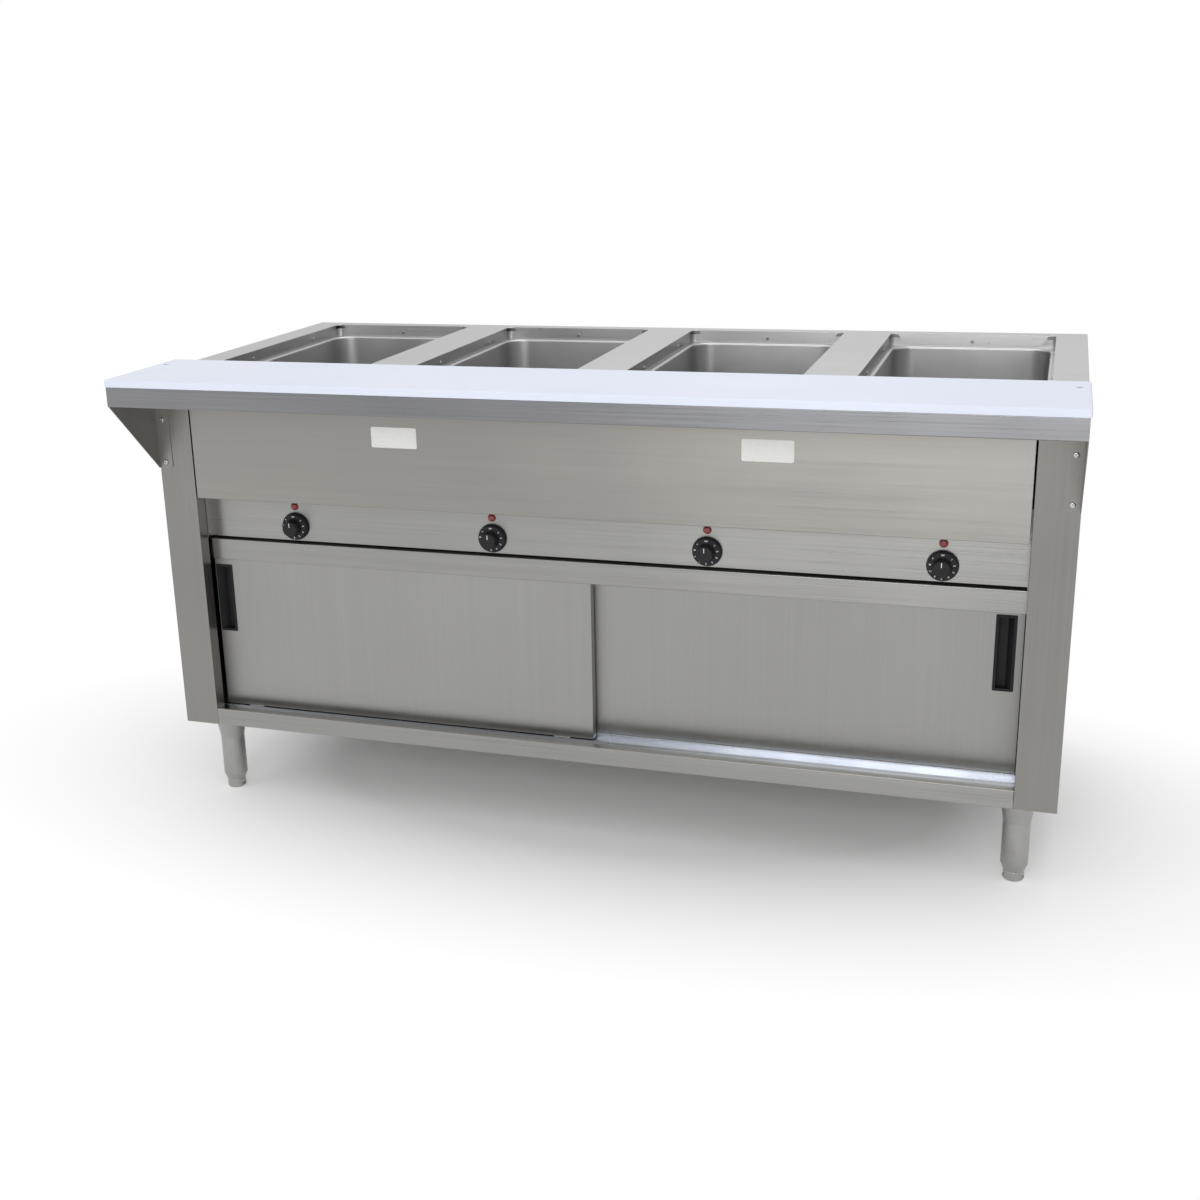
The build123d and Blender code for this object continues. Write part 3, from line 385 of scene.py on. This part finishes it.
def make_dial_text(text, x, angle, size):
    """One printed numeral whose top points to the dial's rim."""
    begin()
    bpy.ops.object.text_add()
    numeral = bpy.context.object
    numeral.data.body = text
    numeral.data.align_x = "CENTER"
    numeral.data.align_y = "CENTER"
    numeral.data.size = size
    numeral.data.extrude = PRINT_THICKNESS
    numeral.data.offset = PRINT_THICKNESS
    bpy.ops.object.convert(target="MESH")
    numeral = bpy.context.object
    numeral.rotation_euler = (math.pi / 2, 0, 0)
    bpy.ops.object.transform_apply(location=False, rotation=True, scale=True)
    numeral.data.transform(Matrix.Rotation(angle, 4, "Y"))
    across = NUMERAL_RADIUS * math.sin(angle)
    rise = NUMERAL_RADIUS * math.cos(angle)
    place = Vector((x + across, KNOB_BACK - SKIRT_DEPTH - PRINT_THICKNESS, KNOB_HEIGHT + rise))
    numeral.data.transform(Matrix.Translation(place))
    return numeral


def make_dial_marks(index, x):
    """White numerals round a knob's skirt."""
    parts = [make_dial_text("OFF", x, 0.0, WORD_SIZE)]
    for number in range(1, 10):
        angle = math.radians(NUMERAL_STEP_DEGREES * number + NUMERAL_START_DEGREES)
        parts.append(make_dial_text(str(number), x, angle, NUMERAL_SIZE))
    begin()
    for part in parts:
        part.select_set(True)
    bpy.context.view_layer.objects.active = parts[0]
    bpy.ops.object.join()
    marks = bpy.context.object
    return settle(marks, f"dial_marks_{index}", PRINT, f"knob_{index}")


def make_pointer(index, x):
    """A short white line let into the grip's end, towards its rim."""
    begin()
    bpy.ops.mesh.primitive_cube_add(size=1, location=(x, KNOB_FRONT, KNOB_HEIGHT + POINTER_RISE))
    line = bpy.context.object
    line.scale = POINTER_SIZE
    bpy.ops.object.transform_apply(location=False, rotation=False, scale=True)
    bevelled(line, POINTER_EDGE)
    return settle(line, f"pointer_{index}", PRINT, f"knob_{index}")


dress_cad_nodes()
for label_name, (label_x, label_z) in LABELS.items():
    make_label(label_name, label_x, label_z)
for knob_index, knob_x in enumerate(KNOB_PLACES, 1):
    make_dial_marks(knob_index, knob_x)
    make_pointer(knob_index, knob_x)


# Floor, light and camera


def seen_as_backdrop(nodes, links):
    """One for the camera and for what metal and glass show, and zero for other light."""
    path = nodes.new("ShaderNodeLightPath")
    camera_ray, glossy_ray = path.outputs["Is Camera Ray"], path.outputs["Is Glossy Ray"]
    seen = add_maths(nodes, links, "ADD", camera_ray, glossy_ray)
    return add_maths(nodes, links, "ADD", seen, path.outputs["Is Transmission Ray"])


def fade_to_white(nodes, links, reach_start, reach_end):
    """Zero near the object and one away from it, in an oval as long as the table needs."""
    place = nodes.new("ShaderNodeTexCoord")
    oval = nodes.new("ShaderNodeMapping")
    oval.inputs["Scale"].default_value = (0.5, 1, 1)
    links.new(place.outputs["Object"], oval.inputs["Vector"])
    length = nodes.new("ShaderNodeVectorMath")
    length.operation = "LENGTH"
    links.new(oval.outputs["Vector"], length.inputs[0])
    return spread(nodes, links, length.outputs["Value"], 0.0, 1.0, reach_start, reach_end)


def make_floor():
    begin()
    bpy.ops.mesh.primitive_circle_add(vertices=96, radius=FLOOR_RADIUS, fill_type="NGON")
    floor = bpy.context.object
    floor.name = "studio_floor"
    material = bpy.data.materials.new("studio_floor")
    material.use_nodes = True
    nodes, links = material.node_tree.nodes, material.node_tree.links
    nodes.clear()
    out = nodes.new("ShaderNodeOutputMaterial")
    diffuse = nodes.new("ShaderNodeBsdfDiffuse")
    diffuse.inputs["Color"].default_value = (0.93, 0.93, 0.93, 1)
    white = nodes.new("ShaderNodeEmission")
    white.inputs["Color"].default_value = (1, 1, 1, 1)
    fade = fade_to_white(nodes, links, FADE_START, FADE_END)
    seen = add_maths(nodes, links, "MULTIPLY", fade, seen_as_backdrop(nodes, links))
    mix = nodes.new("ShaderNodeMixShader")
    links.new(seen, mix.inputs["Fac"])
    links.new(diffuse.outputs["BSDF"], mix.inputs[1])
    links.new(white.outputs["Emission"], mix.inputs[2])
    links.new(mix.outputs["Shader"], out.inputs["Surface"])
    floor.data.materials.append(material)


def make_world():
    world = bpy.data.worlds.new("studio")
    bpy.context.scene.world = world
    world.use_nodes = True
    nodes, links = world.node_tree.nodes, world.node_tree.links
    nodes.clear()
    out = nodes.new("ShaderNodeOutputWorld")
    plain = nodes.new("ShaderNodeBackground")
    plain.inputs["Strength"].default_value = 0.8
    white = nodes.new("ShaderNodeBackground")
    white.inputs["Color"].default_value = (1, 1, 1, 1)
    white.inputs["Strength"].default_value = 1.0
    place = nodes.new("ShaderNodeTexCoord")
    split = nodes.new("ShaderNodeSeparateXYZ")
    links.new(place.outputs["Generated"], split.inputs["Vector"])
    low_shade, high_shade = (0.62, 0.62, 0.61), (1.0, 1.0, 1.0)
    shade = two_tone(nodes, links, split.outputs["Z"], low_shade, high_shade, 0.0, 0.9)
    links.new(shade, plain.inputs["Color"])
    mix = nodes.new("ShaderNodeMixShader")
    links.new(seen_as_backdrop(nodes, links), mix.inputs["Fac"])
    links.new(plain.outputs["Background"], mix.inputs[1])
    links.new(white.outputs["Background"], mix.inputs[2])
    links.new(mix.outputs["Shader"], out.inputs["Surface"])


def add_softbox(name, place, aim, width, height, power):
    data = bpy.data.lights.new(name, "AREA")
    data.shape = "RECTANGLE"
    data.size = width
    data.size_y = height
    data.energy = power
    lamp = bpy.data.objects.new(name, data)
    bpy.context.scene.collection.objects.link(lamp)
    lamp.location = place
    direction = Vector(aim) - Vector(place)
    lamp.rotation_euler = direction.to_track_quat("-Z", "Y").to_euler()


def make_camera():
    """The photograph's view, fitted to the model's corners in a frame 1200 pixels wide."""
    frame_width = 1200
    focal, centre_x, centre_y = 1534.76, 540.0, 600.0
    yaw, pitch, roll = (math.radians(a) for a in (-18.95, -17.64, -1.73))
    place = Vector((0.74452, -2.37349 + FRONT, 1.24613))
    flat = math.cos(pitch)
    ahead = Vector((math.sin(yaw) * flat, math.cos(yaw) * flat, math.sin(pitch)))
    level = Vector((math.cos(yaw), -math.sin(yaw), 0))
    rise = level.cross(ahead)
    right = level * math.cos(roll) + rise * math.sin(roll)
    up = rise * math.cos(roll) - level * math.sin(roll)
    data = bpy.data.cameras.new("camera")
    data.sensor_width = SENSOR_WIDTH_MM
    data.sensor_fit = "HORIZONTAL"
    data.lens = focal / frame_width * SENSOR_WIDTH_MM
    data.shift_x = (frame_width / 2 - centre_x) / frame_width
    data.shift_y = (centre_y - frame_width / 2) / frame_width
    data.clip_end = 60
    camera = bpy.data.objects.new("camera", data)
    bpy.context.scene.collection.objects.link(camera)
    turn = Matrix((right, up, -ahead)).transposed()
    camera.matrix_world = Matrix.Translation(place) @ turn.to_4x4()
    bpy.context.scene.camera = camera


make_floor()
make_world()
add_softbox("key", (0.5, -3.4, 1.5), (0.3, -0.2, 0.5), 2.0, 1.3, 42)
add_softbox("fill", (-2.6, -2.2, 1.8), (0, 0, 0.5), 1.8, 1.8, 9)
add_softbox("top", (0.2, 0.4, 3.0), (0.1, 0.1, 0.8), 2.0, 1.4, 20)
make_camera()
bpy.context.scene.view_settings.view_transform = "Standard"
